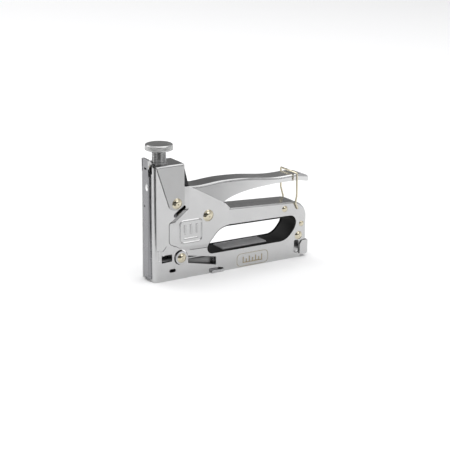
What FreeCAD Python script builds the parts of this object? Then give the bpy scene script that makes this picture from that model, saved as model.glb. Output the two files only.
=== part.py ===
"""Hand staple gun: pressed steel side shells, squeeze handle, spring striker and rear-loading magazine.

The frame is the gun's own. X runs from the nose to the rear, Y across the body, Z up from the base.
The origin is at the staple exit: the nose's front edge, the middle plane and the base.
"""
import FreeCAD, Part
import math
import os

V = FreeCAD.Vector

# Driving dimensions, millimetres
BASE_LENGTH = 154.0       # nose front to the shells' rear bottom corner
BODY_WIDTH = 24.0         # outside width of the two shells at the nose
CAP_TOP = 104.0           # base to the top of the head cap
SHEET = 1.2               # shell sheet
PAD_RAISE = 1.0           # how far the middle of each shell is pressed outward
NOSE_RADIUS = 3.0         # bend from a shell's side to its front flange
FLANGE_EDGE = 3.6         # how near the middle plane the front flange comes
HEAD_DEPTH = 29.7         # nose front to the rear of the head cap
CAP_SHEET = 1.0
GRIP_HEIGHT = 57.4        # top of the fixed grip bar at its front
GRIP_DROP = 4.2           # how much lower the bar's top is at its rear
GRIP_FRONT = 76.0         # where the bar's top flange begins
GRIP_OVERHANG = 5.6       # rear of the grip bar behind the rear bottom corner
CORNER_BACK = 8.4         # where the bar's rear corner begins to turn, before its rear
CORNER_DROP = 9.0         # and where it ends, below its top
CORNER_R = 14.0
LATCH_HEIGHT = 16.0       # top of the rear latch
RUN = 0.05                # radial clearance of a pin that turns in a hole
GAP = 0.35                # clearance between sliding or facing pieces
FOLD_RADIUS = 1.6         # outside of the fold over the grip bar

# Finger opening
OPENING_FLOOR = 18.2
OPENING_TOP = 42.6
OPENING_FRONT = 53.6
OPENING_REAR_MARGIN = 5.6  # rear of the opening in front of the rear bottom corner
LINER_OUT = 1.2           # how far the liner goes under the shells' edge
LINER_IN = 0.5            # how far it shows inside the edge

# Rivets
HEAD_RIVET = (22.3, CAP_TOP - 34.8)
HEAD_RIVET_R = 4.9
PIVOT = (53.7, 54.2)
PIVOT_R = 5.3
PIVOT_SHANK_R = 2.5
MAG_RIVET = (27.5, 19.0)
MAG_RIVET_R = 4.4
MAG_BOSS_R = 6.1          # round boss of the magazine that fills its hole in the shell
GRIP_RIVET = (BASE_LENGTH - 18.5, 48.3)
GRIP_RIVET_R = 3.0
REAR_SMALL_RIVET = (BASE_LENGTH + 0.3, 31.8)
REAR_SMALL_RIVET_R = 2.6
REAR_LARGE_RIVET = (BASE_LENGTH - 2.6, 20.9)
REAR_LARGE_RIVET_R = 4.0
DOME_SHARE = 0.42         # a rivet head's height as a share of its radius

# Handle
HANDLE_CLEARANCE = 0.8    # between the handle's cheeks and each shell's flat sheet
HANDLE_SHEET = 1.5
HANDLE_FRONT = 37.5
HANDLE_TOP = 82.0         # top of the handle at its front
HANDLE_REACH = 12.5       # handle end behind the rear bottom corner
HANDLE_EDGE_R = 2.4

# Striker
AXIS_X = 11.8             # screw, spring and plunger axis behind the nose front
BLADE_FRONT = SHEET + 0.1
BLADE_THICKNESS = 1.0
BLADE_WIDTH = 11.2
BLADE_REST = 1.5          # bottom of the blade at rest
BLOCK_HALF = 8.0          # half the plunger's and the rubber block's width
BLOCK_HEIGHT = 6.7        # rubber block
BRACKET_SHEET = 2.0
GUIDE_DEPTH = 3.0
GUIDE_RISE = 8.0          # bottom of the guide above the magazine
PLUNGER_BOTTOM = 52.0
PLUNGER_HEIGHT = 10.0
PLUNGER_REAR = 18.0
SPRING_R = 6.5
SPRING_WIRE = 2.2
SEAT_TOP = CAP_TOP - 6.5
SEAT_THICKNESS = 2.2

# Knob and screw
STEM_R = 6.3
KNOB_R = 12.2
KNOB_THICKNESS = 5.2
KNOB_TOP = CAP_TOP + 17.0

# Diagonal trip slot, centres of its two round ends
SLOT_LOW = (21.1, 58.4)
SLOT_HIGH = (29.7, 64.9)
TRIP_PIN_R = 1.62
LEVER_HALF = 3.0          # half the lever's thickness across the body

# Magazine
CHANNEL_FLOOR = 1.0
CHANNEL_TOP = 16.6
STAPLE_CROWN = 11.4
STAPLE_LEG = 12.6         # height over the crown
STAPLE_WIRE = 0.7
STAPLE_REST = 1.8         # underside of the staple points
STRIP_FRONT = 2.65
STRIP_LENGTH = 68.0
RAIL_WALL = 1.0
PUSHER_LENGTH = 9.0
ROD_R = 1.3
ROD_HEIGHT = 6.6
PUSHER_SPRING_R = 3.0

# Wire bail
WIRE_R = 0.9
BAIL_PIVOT = (BASE_LENGTH - 5.0, 47.0)
BAIL_TOP = 80.6           # middle of the wire that crosses the handle

HALF = BODY_WIDTH / 2
INNER = HALF - SHEET
HANDLE_WIDTH = 2 * (INNER - HANDLE_CLEARANCE)
HANDLE_END_R = HANDLE_WIDTH / 2 - HANDLE_SHEET  # corners of the handle's end, seen from above
GRIP_REAR = BASE_LENGTH + GRIP_OVERHANG
OPENING_REAR = BASE_LENGTH - OPENING_REAR_MARGIN
BAIL_Y = HALF + GAP + WIRE_R
BLOCK_FRONT = BLADE_FRONT + BLADE_THICKNESS + 1.7
BLOCK_BOTTOM = PLUNGER_BOTTOM - BLOCK_HEIGHT - 0.3
EAR_TOP = CAP_TOP + 6.0
BEND_Y = HALF - NOSE_RADIUS  # where the nose bend meets the front flange
PIN_PROUD = 0.4
PLATE_THICKNESS = 1.6      # front plate
PLATE_HALF = 4.9           # half its width
EAR_Y = PLATE_HALF + GAP + SHEET  # outside of the ears, which stand beside the plate
PIN_PLACE = (-PLATE_THICKNESS / 2, CAP_TOP - 0.4)
PIN_R = 0.6


def point(x, z, y=0.0):
    """A point from its place in the side view."""
    return V(x, y, z)


def rounded(points):
    """Closed face in the side view through (x, z, radius) corners, each rounded by its radius."""
    edges = []
    joints = []
    count = len(points)
    for i in range(count):
        x, z, radius = points[i]
        here = point(x, z)
        before = point(*points[i - 1][:2]) - here
        after = point(*points[(i + 1) % count][:2]) - here
        half = before.getAngle(after) / 2
        reach = radius / math.tan(half) if radius else 0.0
        start = here + before.normalize() * reach
        end = here + after.normalize() * reach
        joints.append((start, end))
        if radius:
            inward = (before + after).normalize()
            middle = here + inward * (radius / math.sin(half) - radius)
            edges.append(Part.Arc(start, middle, end).toShape())
    lines = []
    for i in range(count):
        start = joints[i][1]
        end = joints[(i + 1) % count][0]
        if start.distanceToPoint(end) > 1e-6:
            lines.append(Part.LineSegment(start, end).toShape())
    ordered = Part.sortEdges(edges + lines)[0]
    return Part.Face(Part.Wire(ordered))


def offset(points, distance):
    """The same corners moved outward by distance (inward if negative); the corners run clockwise."""
    moved = []
    count = len(points)
    for i in range(count):
        x, z, radius = points[i]
        ax, az = points[i - 1][:2]
        bx, bz = points[(i + 1) % count][:2]
        first = V(x - ax, 0, z - az).normalize()
        second = V(bx - x, 0, bz - z).normalize()
        out_first = V(-first.z, 0, first.x)
        out_second = V(-second.z, 0, second.x)
        across = (out_first + out_second).normalize()
        reach = distance / across.dot(out_first)
        turns_right = first.z * second.x - first.x * second.z > 0
        new_radius = radius + (distance if turns_right else -distance) if radius else 0.0
        moved.append((x + across.x * reach, z + across.z * reach, max(new_radius, 0.0)))
    return moved


def slab(face, y0, y1):
    """A side-view face as a plate from y0 to y1."""
    plate = face.copy()
    plate.translate(V(0, min(y0, y1), 0))
    return plate.extrude(V(0, abs(y1 - y0), 0))


def box(x0, x1, y0, y1, z0, z1):
    return Part.makeBox(x1 - x0, y1 - y0, z1 - z0, V(x0, y0, z0))


def bar(x, z, radius, y0, y1):
    """Round bar across the body."""
    return Part.makeCylinder(radius, abs(y1 - y0), V(x, min(y0, y1), z), V(0, 1, 0))


def post(x, radius, z0, z1):
    """Round post on the middle plane."""
    return Part.makeCylinder(radius, z1 - z0, V(x, 0, z0), V(0, 0, 1))


def tube(solid, hole):
    return solid.cut(hole)


def slot(low, high, radius):
    """Side-view face of a slot with round ends."""
    along = point(*high) - point(*low)
    length = along.Length
    turn = math.degrees(math.atan2(along.z, along.x))
    straight = Part.makeBox(length, 2, 2 * radius, V(0, -1, -radius))
    ends = [bar(0, 0, radius, -1, 1), bar(length, 0, radius, -1, 1)]
    whole = straight.multiFuse(ends).removeSplitter()
    whole.rotate(V(0, 0, 0), V(0, 1, 0), -turn)
    whole.translate(point(*low))
    return whole


def stretched(shape, y0, y1):
    """A piece made 2 mm wide about the middle plane, made to span y0 to y1."""
    matrix = FreeCAD.Matrix()
    matrix.A22 = abs(y1 - y0) / 2
    wide = shape.transformGeometry(matrix)
    wide.translate(V(0, (y0 + y1) / 2, 0))
    return wide


def mirrored(shape):
    return shape.mirror(V(0, 0, 0), V(0, 1, 0))


def clean(shape):
    return shape.removeSplitter()


def save(name, shape):
    """Write one sub-part, checked to be closed."""
    assert shape.isValid(), name
    assert shape.Volume > 0, name
    shape.exportStep(os.path.join("parts", name + ".step"))


# Side shells

def grip_corners():
    """Top and rear of the grip bar, from its front corner clockwise, closed below."""
    low = GRIP_HEIGHT - GRIP_DROP
    return [
        (GRIP_FRONT, GRIP_HEIGHT, 0),
        (GRIP_REAR - CORNER_BACK, low, CORNER_R),
        (GRIP_REAR, low - CORNER_DROP, CORNER_R),
        (GRIP_REAR, LATCH_HEIGHT + 0.6, 0),
        (GRIP_FRONT, LATCH_HEIGHT + 0.6, 0),
    ]


def shell_corners():
    top = CAP_TOP - CAP_SHEET
    head_foot = CAP_TOP - 21.0
    low = GRIP_HEIGHT - GRIP_DROP
    return [
        (NOSE_RADIUS, 0, 0),
        (NOSE_RADIUS, top, 0),
        (HEAD_DEPTH - 0.3, top, 0),
        (HEAD_DEPTH - 0.3, head_foot + 0.4, 0),
        (HEAD_DEPTH + 4.9, head_foot, 1.0),
        (GRIP_FRONT - 4.6, GRIP_HEIGHT + 5.1, 2.0),
        (GRIP_FRONT, GRIP_HEIGHT, 4.0),
        (GRIP_REAR - CORNER_BACK, low, CORNER_R),
        (GRIP_REAR, low - CORNER_DROP, CORNER_R),
        (GRIP_REAR, LATCH_HEIGHT + 0.6, 1.0),
        (BASE_LENGTH + 0.2, LATCH_HEIGHT + 0.6, 1.0),
        (BASE_LENGTH + 0.2, 0, 1.0),
    ]


def opening_corners():
    """The finger opening, clockwise from its bottom front corner."""
    return [
        (OPENING_FRONT - 0.6, OPENING_FLOOR, 5.5),
        (OPENING_FRONT + 0.2, OPENING_FLOOR + 10.0, 9.0),
        (OPENING_FRONT + 13.2, OPENING_TOP, 18.0),
        (OPENING_REAR + 1.6, OPENING_TOP - 1.6, 7.0),
        (OPENING_REAR - 1.2, OPENING_FLOOR + 10.6, 14.0),
        (OPENING_REAR - 10.6, OPENING_FLOOR - 0.3, 16.0),
    ]


def pad_foot():
    """Foot of the pressed-out middle; it runs past the shell's top edge and the finger opening."""
    left = SLOT_LOW[0] - 6.2
    rear = HEAD_DEPTH + 0.2
    above = CAP_TOP + 4.0
    return [
        (left, 33.5, 4.0), (left, SLOT_LOW[1] - 6.8, 3.0), (rear, SLOT_HIGH[1] - 1.9, 3.0), (rear, above, 0),
        (GRIP_FRONT, above, 0), (GRIP_FRONT, 34.0, 0), (GRIP_FRONT - 12.0, 24.5, 0), (left + 15.1, 25.5, 3.0),
    ]


def pad_crown():
    """Top of the pressed-out middle, corner for corner inside its foot."""
    left = SLOT_LOW[0] - 0.8
    rear = HEAD_DEPTH + 4.5
    above = CAP_TOP + 4.0
    return [
        (left, 31.5, 2.0), (left, SLOT_LOW[1] - 5.8, 3.0), (rear, SLOT_HIGH[1] - 1.8, 3.0), (rear, above, 0),
        (GRIP_FRONT - 4.0, above, 0), (GRIP_FRONT - 4.0, 34.0, 0), (GRIP_FRONT - 14.0, 27.6, 0),
        (left + 2.7, 29.8, 2.0),
    ]


def pad(foot_y, top_y):
    """Pressed-out block between its foot and its top, with sloped sides."""
    foot = rounded(pad_foot()).OuterWire
    top = rounded(pad_crown()).OuterWire
    foot.translate(V(0, foot_y, 0))
    top.translate(V(0, top_y, 0))
    return Part.makeLoft([foot, top], True, True)


def ear_corners():
    """Ear bent forward from the front flange, which carries the front plate's cross pin."""
    return [
        (0, CAP_TOP - 8.5, 0),
        (0, CAP_TOP - 5.0, 0),
        (-1.9, CAP_TOP - 2.5, 0),
        (-1.9, EAR_TOP - 1.6, 0.6),
        (-0.6, EAR_TOP - 1.2, 0.4),
        (SHEET, CAP_TOP + 2.2, 0),
        (SHEET, CAP_TOP - 8.5, 0),
    ]


def nose_bend():
    """Rounded front edge of the near shell, its flange beside the front plate and the ear bent from the flange."""
    depth = CAP_TOP - 7.0
    height = CAP_TOP - CAP_SHEET
    outer = Part.makeCylinder(NOSE_RADIUS, height, V(NOSE_RADIUS, -BEND_Y, 0), V(0, 0, 1))
    inner = Part.makeCylinder(NOSE_RADIUS - SHEET, height, V(NOSE_RADIUS, -BEND_Y, 0), V(0, 0, 1))
    quarter = box(0, NOSE_RADIUS, -HALF, -BEND_Y, 0, height)
    flange = box(0, SHEET, -BEND_Y, -FLANGE_EDGE, 0, depth)
    ear = slab(rounded(ear_corners()), -EAR_Y, -EAR_Y + SHEET).cut(bar(*PIN_PLACE, PIN_R, -HALF, 0))
    return outer.cut(inner).common(quarter).multiFuse([flange, ear])


def grip_flange():
    """Inward flange over the grip bar's top and down its rear, up to the seam on the middle plane."""
    whole = rounded(grip_corners())
    inner = offset(grip_corners(), -SHEET)
    inner[0] = (GRIP_FRONT - 5.0, inner[0][1] + 5.0 * GRIP_DROP / (GRIP_REAR - CORNER_BACK - GRIP_FRONT), 0)
    inner[3] = (inner[3][0], LATCH_HEIGHT - 5.0, 0)
    inner[4] = (GRIP_FRONT - 5.0, LATCH_HEIGHT - 5.0, 0)
    strip = whole.cut(rounded(inner))
    return slab(strip, -HALF, -0.15)


def fold_waste():
    """What rounding the fold between the near side and the grip bar's flange takes away."""
    block = slab(rounded(grip_corners()), -HALF, -INNER + FOLD_RADIUS)
    folds = [
        e for e in block.Edges
        if e.BoundBox.YMax < -HALF + 0.01 and e.BoundBox.ZMax > LATCH_HEIGHT + 2 and e.BoundBox.XMax > GRIP_FRONT + 1
    ]
    return block.cut(block.makeFillet(FOLD_RADIUS, folds))


def shell_windows():
    """Everything cut through the near shell, apart from the rivet holes."""
    through = (-HALF - 3.0, -INNER + 2.0)
    front_window = [(7.4, 17.0, 0.4), (7.4, 24.0, 0.4), (17.6, 23.9, 0.4), (17.9, 17.4, 0.4)]
    staple_window = [(33.8, 13.4, 0), (33.8, 20.3, 0), (62.6, 14.7, 0.5), (62.6, 7.1, 0.5)]
    rear_slot = [
        (BASE_LENGTH - 7.5, 4.8, 1.5), (BASE_LENGTH - 7.5, 17.0, 1.5),
        (BASE_LENGTH - 2.2, 16.6, 1.5), (BASE_LENGTH - 2.2, 4.4, 1.5),
    ]
    lug_notch = [(55.2, -1.0, 0), (55.2, 4.6, 0.5), (66.0, 4.4, 0.5), (70.2, 3.2, 0.5), (70.2, -1.0, 0)]
    cuts = [slab(rounded(c), *through) for c in (front_window, staple_window, rear_slot, lug_notch)]
    cuts.append(slab(rounded(opening_corners()), *through))
    cuts.append(stretched(slot(SLOT_LOW, SLOT_HIGH, TRIP_PIN_R + 0.08), *through))
    cuts.append(stretched(slot((16.6, 8.8), (19.8, 8.8), 1.6), *through))
    cuts.append(bar(*MAG_RIVET, MAG_BOSS_R, *through))
    cuts.append(bar(MAG_RIVET[0] - 0.9, MAG_RIVET[1] + 0.8, MAG_BOSS_R + 0.8, *through))
    bail_x, bail_z = BAIL_PIVOT
    cuts.append(bar(bail_x, bail_z, WIRE_R + RUN, *through))
    cuts.append(stretched(slot(BAIL_PIVOT, (bail_x - 2.6, bail_z + 9.0), 0.6), *through))
    return cuts


def rear_wedge():
    """Shallow step behind the nose panel, deepest at its front and gone at its rear."""
    front = 33.4
    face = Part.makePolygon([
        V(front, -HALF - 1, -1), V(front, -HALF + 0.5, -1), V(66, -HALF, -1), V(66, -HALF - 1, -1),
        V(front, -HALF - 1, -1),
    ])
    wedge = Part.Face(face).extrude(V(0, 0, 20))
    below = slab(rounded([(30, -2, 0), (30, 14.2, 0), (68, 5.9, 0), (68, -2, 0)]), -HALF - 2, -INNER)
    return wedge.common(below)


def left_shell():
    """Pressed sheet on the -Y side: the side itself, its front bend and its top flange."""
    outline = rounded(shell_corners())
    side = slab(outline, -HALF, -INNER)
    over = pad(-HALF, -HALF - PAD_RAISE).common(slab(outline, -HALF - PAD_RAISE, -HALF))
    body = side.multiFuse([over, nose_bend(), grip_flange()])
    hollow = pad(-INNER, -INNER - PAD_RAISE)
    cuts = shell_windows() + [hollow, rear_wedge(), fold_waste()]
    rivets = (
        (HEAD_RIVET, PIVOT_SHANK_R), (PIVOT, PIVOT_SHANK_R),
        (GRIP_RIVET, 1.4), (REAR_SMALL_RIVET, 1.3), (REAR_LARGE_RIVET, 1.9),
    )
    cuts += [bar(x, z, r, -HALF - 3, -INNER + 2) for (x, z), r in rivets]
    return clean(body.cut(cuts))


# Head

def head_cap():
    """Inverted channel over the head: flat top and two side flaps that narrow down to the rivet."""
    outer = HALF + CAP_SHEET
    x, z = HEAD_RIVET
    flap = [
        (2.2, CAP_TOP, 0), (HEAD_DEPTH, CAP_TOP, 0), (HEAD_DEPTH, z - 2.4, 3.0),
        (x + 1.0, z - 6.6, 6.0), (x - 6.8, z - 4.6, 5.0),
    ]
    whole = slab(rounded(flap), -outer, outer)
    top_edges = [e for e in whole.Edges if abs(e.BoundBox.ZMin - CAP_TOP) < 1e-6 and e.BoundBox.XLength > 20]
    whole = whole.makeFillet(1.8, top_edges)
    inside = box(-5, HEAD_DEPTH + 5, -HALF, HALF, 0, CAP_TOP - CAP_SHEET)
    holes = [bar(x, z, PIVOT_SHANK_R, -20, 20), post(AXIS_X, STEM_R + 0.8, CAP_TOP - 5, CAP_TOP + 5)]
    return clean(whole.cut([inside] + holes))


def threaded_bush():
    """Flanged bush pressed into the cap, which the tension screw turns in."""
    body = post(AXIS_X, STEM_R + 0.8, CAP_TOP - CAP_SHEET, CAP_TOP)
    flange = post(AXIS_X, STEM_R + 1.5, CAP_TOP, CAP_TOP + 0.9)
    nut = post(AXIS_X, STEM_R + 2.2, CAP_TOP - CAP_SHEET - 2.5, CAP_TOP - CAP_SHEET)
    hole = post(AXIS_X, STEM_R + RUN, CAP_TOP - 8, CAP_TOP + 5)
    return tube(body.multiFuse([flange, nut]), hole)


def rear_guard():
    """Dark plate that closes the back of the head between the cap and the handle."""
    side = [
        (HEAD_DEPTH - 2.0, CAP_TOP - 25.0, 0), (HEAD_DEPTH - 2.0, CAP_TOP - 1.4, 0),
        (HEAD_DEPTH + 0.5, CAP_TOP - 1.4, 0), (HEAD_DEPTH + 6.5, CAP_TOP - 25.0, 0),
    ]
    inner = [
        (HEAD_DEPTH - 3.0, CAP_TOP - 26.0, 0), (HEAD_DEPTH - 3.0, CAP_TOP, 0),
        (HEAD_DEPTH - 0.9, CAP_TOP, 0), (HEAD_DEPTH + 5.6, CAP_TOP - 26.0, 0),
    ]
    reach = INNER - 0.05
    return slab(rounded(side), -reach, reach).cut(slab(rounded(inner), -reach + 1.0, reach - 1.0))


def front_plate():
    """Flat plate over the driver's slot, held by the cross pin at its top."""
    thickness = PLATE_THICKNESS
    strip = box(-thickness, 0, -PLATE_HALF, PLATE_HALF, 2.2, EAR_TOP - 0.8)
    notch = box(-thickness - 1, 1, -2.0, 2.0, CAP_TOP - 4.2, CAP_TOP - 2.6)
    hole = Part.makeCylinder(0.9, 4, V(-3, 1.6, CAP_TOP - 37), V(1, 0, 0))
    foot = Part.makeCylinder(1.2, 4, V(-3, 0, 2.2), V(1, 0, 0))
    pin = bar(*PIN_PLACE, PIN_R, -15, 15)
    return clean(strip.cut([notch, hole, foot, pin]))


def front_plate_pin():
    """Thin cross pin through the front plate and the two ears."""
    return bar(*PIN_PLACE, PIN_R, -EAR_Y - PIN_PROUD, EAR_Y + PIN_PROUD)


# Rivets

def rivet(place, head_r, shank_r, reach):
    """Rivet across the body: shank between +-reach and a low dome on each end."""
    x, z = place
    height = head_r * DOME_SHARE
    ball_r = (head_r ** 2 + height ** 2) / (2 * height)
    shank = bar(x, z, shank_r, -reach, reach)
    ball = Part.makeSphere(ball_r, V(x, reach + height - ball_r, z))
    dome = ball.common(box(x - 20, x + 20, reach, reach + 20, z - 20, z + 20))
    return clean(shank.multiFuse([dome, mirrored(dome)]))


# Finger-opening liner

def grip_liner():
    """Black moulded loop that lines the finger opening between the shells."""
    reach = INNER - 0.05
    outside = rounded(offset(opening_corners(), LINER_OUT))
    inside = rounded(offset(opening_corners(), -LINER_IN))
    return slab(outside.cut(inside), -reach, reach)


def liner_insert():
    """Ribbed grey pad on the floor of the finger opening."""
    floor = OPENING_FLOOR + LINER_IN - 0.05
    start = OPENING_FRONT + 18.0
    end = OPENING_REAR - 30.0
    base = box(start, end, -8.2, 8.2, floor + 0.05, floor + 0.8)
    ribs = [box(start, end, y - 0.6, y + 0.6, floor + 0.8, floor + 1.3) for y in (-6, -3, 0, 3, 6)]
    return clean(base.multiFuse(ribs))


# Handle

def curve(points):
    line = Part.BSplineCurve()
    line.interpolate([point(*p) for p in points])
    return line.toShape()


def handle_face(drop, bottom):
    """Side view of the handle, a little longer than it is, with its top lowered by drop."""
    end = BASE_LENGTH + HANDLE_REACH + 2.0
    top = HANDLE_TOP - drop
    rear = BASE_LENGTH
    crown = curve([
        (HANDLE_FRONT, top), (52, top - 0.1), (66, top + 0.9), (80, top + 0.9), (98, top - 0.2),
        (rear - 39, top - 2.3), (rear - 25, top - 3.4), (rear - 10, top - 3.2), (rear - 3, top - 3.3),
        (rear + 4, top - 4.4), (rear + 9, top - 6.3), (rear + HANDLE_REACH, top - 8.2), (end, top - 9.3),
    ])
    if bottom == "open":
        low = 30.0
        path = [point(end, top - 9.3), point(end, low), point(HANDLE_FRONT, low), point(HANDLE_FRONT, top)]
        return Part.Face(Part.Wire([crown] + Part.makePolygon(path).Edges))
    x, z = PIVOT
    under = curve([
        (end, top - 11.6), (rear + 6, top - 10.9), (rear - 1, top - 9.4), (rear - 12, top - 8.8),
        (rear - 33, top - 9.0), (111, top - 9.6), (98, top - 10.9), (85, top - 13.3), (75.5, top - 16.4),
        (x + 15.0, top - 20.4),
    ])
    lobe = Part.Arc(point(x + 7.0, z - 3.9), point(x, z - 8.0), point(x - 8.0, z)).toShape()
    links = [
        Part.LineSegment(point(end, top - 9.3), point(end, top - 11.6)).toShape(),
        Part.LineSegment(point(x + 15.0, top - 20.4), point(x + 7.0, z - 3.9)).toShape(),
        Part.LineSegment(point(x - 8.0, z), point(HANDLE_FRONT, top - 14.0)).toShape(),
        Part.LineSegment(point(HANDLE_FRONT, top - 14.0), point(HANDLE_FRONT, top)).toShape(),
    ]
    edges = [crown, links[0], under, links[1], lobe, links[2], links[3]]
    return Part.Face(Part.Wire(edges))


def handle_plan(inset):
    """Upright block over the handle's outline seen from above, moved in by inset, with a rounded end."""
    half = HANDLE_WIDTH / 2 - inset
    end = BASE_LENGTH + HANDLE_REACH - inset
    block = box(HANDLE_FRONT - 5, end, -half, half, 20, HANDLE_TOP + 10)
    corners = [e for e in block.Edges if e.BoundBox.ZLength > 1 and e.BoundBox.XMin > end - 1]
    return block.makeFillet(HANDLE_END_R - inset, corners)


def squeeze_handle():
    """Pressed channel, open below, with its cheeks carried down round the pivot rivet."""
    half = HANDLE_WIDTH / 2
    body = slab(handle_face(0, "closed"), -half - 1, half + 1).common(handle_plan(0))
    rim = [
        e for e in body.Edges
        if e.BoundBox.ZMin > HANDLE_TOP - 9.5 and (e.BoundBox.XLength > 60 or e.BoundBox.XMin > BASE_LENGTH + 2)
        and e.BoundBox.YLength + e.BoundBox.XLength > 0.1
    ]
    body = body.makeFillet(HANDLE_EDGE_R, rim)
    inside = slab(handle_face(HANDLE_SHEET, "open"), -half, half).common(handle_plan(HANDLE_SHEET))
    front = box(HANDLE_FRONT - 5, HANDLE_FRONT + 5, -half + HANDLE_SHEET, half - HANDLE_SHEET,
                30, HANDLE_TOP - HANDLE_SHEET)
    hole = bar(*PIVOT, PIVOT_SHANK_R + RUN, -20, 20)
    return clean(body.cut([inside, front, hole]))


def return_spring():
    """Coil of the handle's return spring, round the pivot rivet."""
    return tube(bar(*PIVOT, 5.2, -5.0, 5.0), bar(*PIVOT, PIVOT_SHANK_R + 0.4, -6, 6))


def pivot_washers():
    """Two spacers on the pivot rivet that keep the handle in the middle."""
    inside = HANDLE_WIDTH / 2 + 0.1
    outside = INNER + PAD_RAISE
    return [tube(bar(*PIVOT, 4.6, s * inside, s * outside), bar(*PIVOT, PIVOT_SHANK_R, s * inside, s * outside))
            for s in (-1, 1)]


# Striker

def plunger():
    """Steel block that the main spring drives down, with a boss inside the spring."""
    x0 = BLADE_FRONT + BLADE_THICKNESS
    z1 = PLUNGER_BOTTOM + PLUNGER_HEIGHT
    block = box(x0, PLUNGER_REAR, -BLOCK_HALF, BLOCK_HALF, PLUNGER_BOTTOM, z1)
    boss = post(AXIS_X, SPRING_R - SPRING_WIRE - GAP, z1, z1 + 4.0)
    return clean(block.fuse(boss))


def driver_blade():
    x1 = BLADE_FRONT + BLADE_THICKNESS
    return box(BLADE_FRONT, x1, -BLADE_WIDTH / 2, BLADE_WIDTH / 2, BLADE_REST, PLUNGER_BOTTOM + PLUNGER_HEIGHT)


def bumper():
    """Rubber block that stops the plunger."""
    return box(BLOCK_FRONT, PLUNGER_REAR, -BLOCK_HALF, BLOCK_HALF, BLOCK_BOTTOM, BLOCK_BOTTOM + BLOCK_HEIGHT)


def bumper_bracket():
    """Steel bridge between the shells that carries the rubber block."""
    return box(BLOCK_FRONT, PLUNGER_REAR, -INNER, INNER, BLOCK_BOTTOM - BRACKET_SHEET, BLOCK_BOTTOM)


def driver_guide():
    """Steel guide behind the blade, above the magazine's mouth."""
    x0 = BLADE_FRONT + BLADE_THICKNESS + 0.3
    reach = INNER - 0.1
    return box(x0, x0 + GUIDE_DEPTH, -reach, reach, CHANNEL_TOP + GUIDE_RISE, BLOCK_BOTTOM - BRACKET_SHEET)


def main_spring():
    """Space taken by the main compression spring."""
    z0 = PLUNGER_BOTTOM + PLUNGER_HEIGHT
    z1 = SEAT_TOP - SEAT_THICKNESS
    return tube(post(AXIS_X, SPRING_R, z0, z1), post(AXIS_X, SPRING_R - SPRING_WIRE, z0 - 1, z1 + 1))


def spring_seat():
    """Dished disc on top of the main spring."""
    disc = post(AXIS_X, SPRING_R + 1.0, SEAT_TOP - SEAT_THICKNESS, SEAT_TOP)
    boss = post(AXIS_X, SPRING_R - SPRING_WIRE - GAP, SEAT_TOP - SEAT_THICKNESS - 2.0, SEAT_TOP)
    return clean(disc.fuse(boss))


def tension_screw():
    """Coarse screw under the knob; its foot bears on the spring seat."""
    top = KNOB_TOP - KNOB_THICKNESS
    stem = post(AXIS_X, STEM_R, SEAT_TOP + 1.0, top)
    foot = Part.makeCone(STEM_R - 1.2, STEM_R, 1.0, V(AXIS_X, 0, SEAT_TOP), V(0, 0, 1))
    return clean(stem.fuse(foot))


def tension_knob():
    """Knurled disc, bevelled above and below."""
    low = KNOB_TOP - KNOB_THICKNESS
    rim = post(AXIS_X, KNOB_R, low, KNOB_TOP)
    edges = [e for e in rim.Edges if e.BoundBox.ZLength < 1e-6]
    return rim.makeChamfer(0.9, edges)


def trip_lever():
    """Lever on the trip pin that lifts the plunger and lets it go."""
    x, z = SLOT_LOW
    outline = [
        (x - 2.6, z - 4.5, 1.5), (x - 2.6, z + 3.0, 1.5), (x + 4.0, z + 4.5, 2.0),
        (x + 16.0, z + 1.5, 2.0), (x + 16.0, z - 3.0, 2.0), (x + 3.0, z - 4.5, 2.0),
    ]
    plate = slab(rounded(outline), -LEVER_HALF, LEVER_HALF)
    return plate.cut(bar(x, z, TRIP_PIN_R, -5, 5))


def trip_pin():
    return bar(*SLOT_LOW, TRIP_PIN_R, -HALF, HALF)


# Magazine

def magazine_channel():
    """Channel along the base: floor, two walls with a window each, two bosses and two side lugs."""
    wall_in = STAPLE_CROWN / 2 + GAP
    wall_out = wall_in + RAIL_WALL
    front = NOSE_RADIUS
    rear = BASE_LENGTH - 4.0
    floor = box(front, rear, -INNER, INNER, 0, CHANNEL_FLOOR)
    wall = box(front, rear, wall_in, wall_out, CHANNEL_FLOOR, CHANNEL_TOP)
    window = box(33.0, 64.0, wall_in - 1, wall_out + 1, 5.0, 15.6)
    boss = bar(*MAG_RIVET, MAG_BOSS_R, wall_out, HALF)
    lip = box(57.5, 69.5, INNER, HALF + 1.6, 0, CHANNEL_FLOOR)
    lug = box(57.5, 69.5, HALF + 0.6, HALF + 1.6, 0, 2.6)
    ear = bar(*MAG_RIVET, MAG_BOSS_R, wall_in, wall_out)
    side = wall.fuse(ear).cut(window).multiFuse([boss, lip, lug])
    side = side.cut(bar(*MAG_RIVET, 2.0, 0, 20))
    clear = box(front - 5, rear + 5, -wall_in, wall_in, CHANNEL_FLOOR, CHANNEL_TOP + 20)
    return clean(floor.multiFuse([side, mirrored(side)]).cut(clear))


def rail_half():
    return STAPLE_CROWN / 2 - STAPLE_WIRE - GAP


def staple_rail():
    """Inverted channel that the staples straddle, slotted along its top for the pusher."""
    half = rail_half()
    top = STAPLE_REST + STAPLE_LEG - STAPLE_WIRE - 0.1
    front = STRIP_FRONT + 0.3
    rear = BASE_LENGTH - 4.0
    body = box(front, rear, -half, half, CHANNEL_FLOOR, top)
    inside = box(front + 2.0, rear + 1, -half + RAIL_WALL, half - RAIL_WALL, CHANNEL_FLOOR, top - RAIL_WALL)
    split = box(front + 8.0, rear + 1, -1.3, 1.3, CHANNEL_FLOOR, top + 1)
    return clean(body.cut([inside, split]))


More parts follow.
